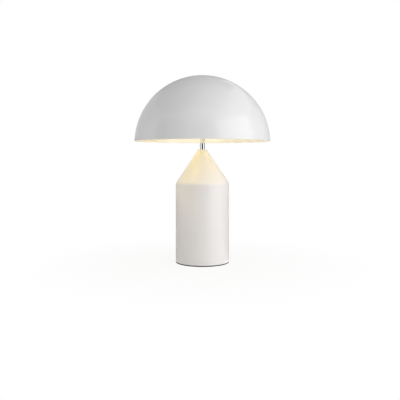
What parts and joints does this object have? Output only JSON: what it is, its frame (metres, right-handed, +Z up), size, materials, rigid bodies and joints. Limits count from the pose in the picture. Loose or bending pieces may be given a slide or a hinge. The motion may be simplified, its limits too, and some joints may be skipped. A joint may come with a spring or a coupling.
{
  "type": "table lamp",
  "caption": "Mushroom table lamp: white metal dome shade on a chrome stem above a white cone-topped cylinder, with two opposed bulbs hidden under the dome.",
  "frame": {"origin": "centre of the foot ring's underside, on the table", "axes": "+Z up along the stem, -Y towards the pictured front, so +X points right in the picture; the mains inlet is at +Y"},
  "size_m": [0.3799, 0.3799, 0.5243],
  "materials": {
    "shade_paint": "gloss white enamel, inside and out",
    "body_paint": "gloss white enamel",
    "chrome": "polished",
    "rubber_black": "matt black",
    "zinc_steel": "zinc plated",
    "cast_iron": "as cast, skimmed faces",
    "turned_aluminium": "turned",
    "nylon": "natural nylon",
    "holder_plastic": "white moulded",
    "holder_ceramic": "unglazed",
    "brass": "stamped and turned",
    "nickel": "nickel plated cap",
    "black_glass": "black insulator",
    "bulb_white": "white moulded",
    "bulb_opal": "opal, lit",
    "led_white": "white coated board",
    "wire_brown": "brown insulation",
    "wire_blue": "blue insulation",
    "wire_earth": "green and yellow insulation"
  },
  "bodies": {
    "base": {"foot_ring": "rubber_black", "base_plate": "zinc_steel", "base_screws": "zinc_steel", "ledge_ring": "zinc_steel", "ballast": "cast_iron", "ballast_screws": "zinc_steel", "body_shell": "body_paint", "shoulder_ring": "turned_aluminium", "cone_shell": "body_paint", "neck_collar": "body_paint", "apex_plug": "turned_aluminium", "tie_washer": "zinc_steel", "tie_nuts": "zinc_steel", "tie_tube": "zinc_steel", "stem_tube": "chrome", "hub": "turned_aluminium", "hub_cap": "turned_aluminium", "arm_nipples": "zinc_steel", "arm_nuts": "zinc_steel", "shade_post": "chrome", "post_nut": "zinc_steel", "inlet_grommet": "rubber_black", "terminal_block": "nylon", "terminal_inserts": "brass", "terminal_screws": "zinc_steel", "block_screws": "zinc_steel", "earth_tag": "brass", "earth_screw": "zinc_steel", "earth_wire": "wire_earth", "holder_cap_left": "holder_plastic", "holder_sleeve_left": "holder_plastic", "holder_core_left": "holder_ceramic", "holder_terminals_left": "brass", "thread_shell_left": "brass", "centre_contact_left": "brass", "live_wire_left": "wire_brown", "neutral_wire_left": "wire_blue", "holder_cap_right": "holder_plastic", "holder_sleeve_right": "holder_plastic", "holder_core_right": "holder_ceramic", "holder_terminals_right": "brass", "thread_shell_right": "brass", "centre_contact_right": "brass", "live_wire_right": "wire_brown", "neutral_wire_right": "wire_blue"},
    "bearing": {"swivel_bush": "nylon"},
    "shade": {"shade_shell": "shade_paint", "shade_socket": "turned_aluminium"},
    "left_bulb_tip": {"bulb_tip_left": "nickel"},
    "left_bulb": {"bulb_insulator_left": "black_glass", "bulb_cap_left": "nickel", "bulb_housing_left": "bulb_white", "led_board_left": "led_white", "bulb_globe_left": "bulb_opal"},
    "right_bulb_tip": {"bulb_tip_right": "nickel"},
    "right_bulb": {"bulb_insulator_right": "black_glass", "bulb_cap_right": "nickel", "bulb_housing_right": "bulb_white", "led_board_right": "led_white", "bulb_globe_right": "bulb_opal"}
  },
  "joints": [
    {"name": "shade_swivel", "type": "hinge", "parent": "base", "child": "bearing", "pos_m": [0, 0, 0.49909], "axis": [0, 0, 1], "continuous": true},
    {"name": "shade_lift", "type": "slide", "parent": "bearing", "child": "shade", "axis": [0, 0, 1], "range_m": [0, 0.19]},
    {"name": "left_bulb_travel", "type": "slide", "parent": "base", "child": "left_bulb_tip", "axis": [-1, 0, 0], "range_m": [0, 0.0113]},
    {"name": "left_bulb_turn", "type": "hinge", "parent": "left_bulb_tip", "child": "left_bulb", "pos_m": [-0.1033, 0, 0.43009], "axis": [-1, 0, 0], "range_deg": [0, 1440]},
    {"name": "right_bulb_travel", "type": "slide", "parent": "base", "child": "right_bulb_tip", "axis": [1, 0, 0], "range_m": [0, 0.0113]},
    {"name": "right_bulb_turn", "type": "hinge", "parent": "right_bulb_tip", "child": "right_bulb", "pos_m": [0.1033, 0, 0.43009], "axis": [1, 0, 0], "range_deg": [0, 1440]}
  ],
  "couplings": [
    {"joint": "left_bulb_travel", "follows": "left_bulb_turn", "m_per_rad": 0.00044913},
    {"joint": "right_bulb_travel", "follows": "right_bulb_turn", "m_per_rad": 0.00044913}
  ]
}
